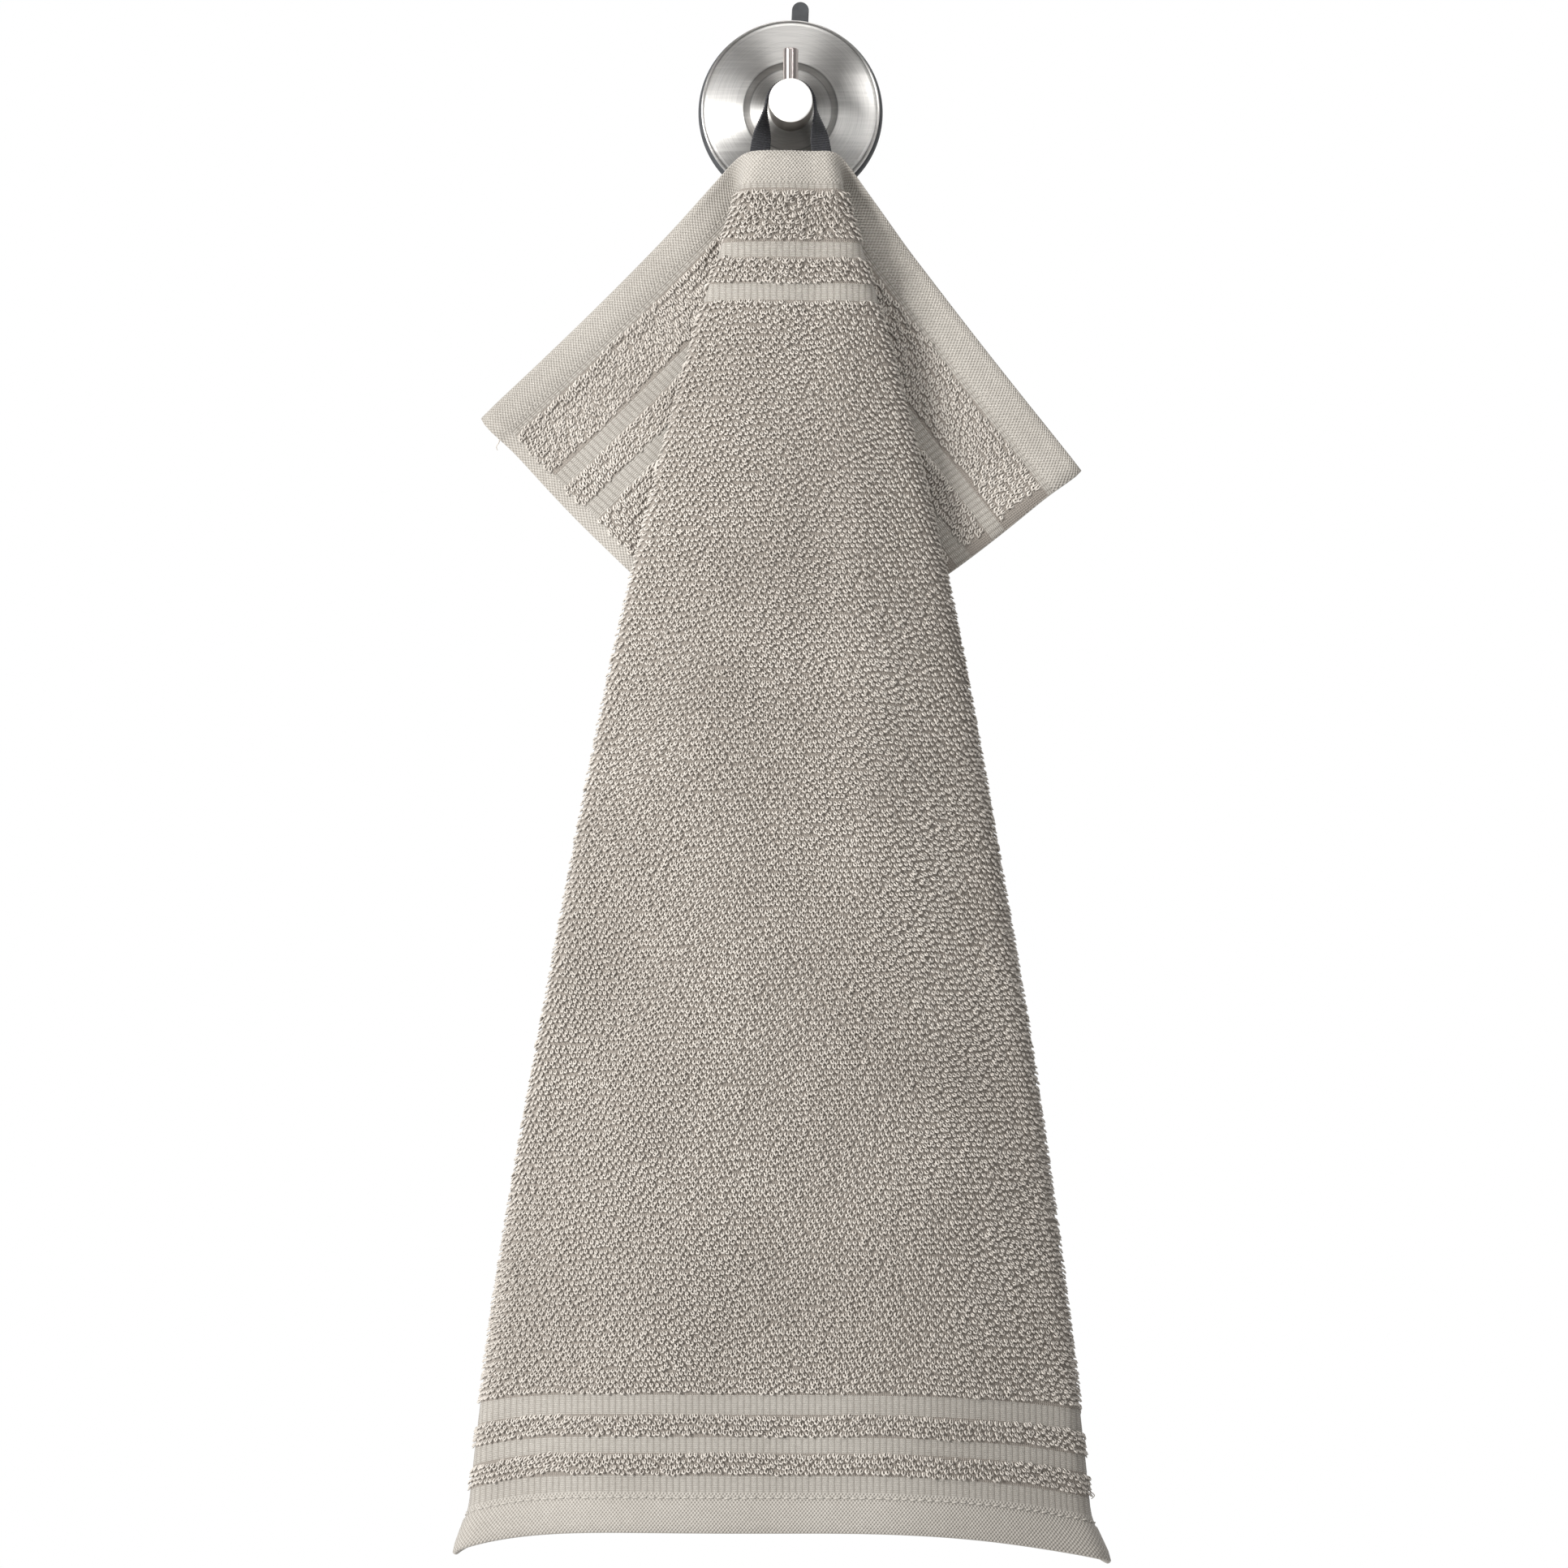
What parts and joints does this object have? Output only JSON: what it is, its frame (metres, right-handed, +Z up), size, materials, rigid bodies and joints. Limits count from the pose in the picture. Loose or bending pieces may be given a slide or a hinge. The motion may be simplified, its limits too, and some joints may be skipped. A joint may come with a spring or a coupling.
{
  "type": "guest towel on a suction hook",
  "caption": "Terry guest towel hanging by its woven loop from a round suction wall hook with a knob and an upright pin.",
  "frame": {"origin": "middle of the suction cup's flat back, on the wall", "axes": "+Y into the wall, +Z up, +X to the right of someone facing the wall"},
  "size_m": [0.2379, 0.0469, 0.5677],
  "materials": {
    "terry_cloth": "greige cotton terry with flat woven stripes and hems",
    "tape": "black ribbed woven tape",
    "black_rubber": "matt black soft rubber",
    "steel": "stainless steel, brushed in circles on the disc"
  },
  "bodies": {
    "root": {"towel": "terry_cloth", "hanging_loop": "tape", "suction_cup": "black_rubber", "cover_disc": "steel", "knob": "steel", "pin": "steel"}
  },
  "joints": []
}
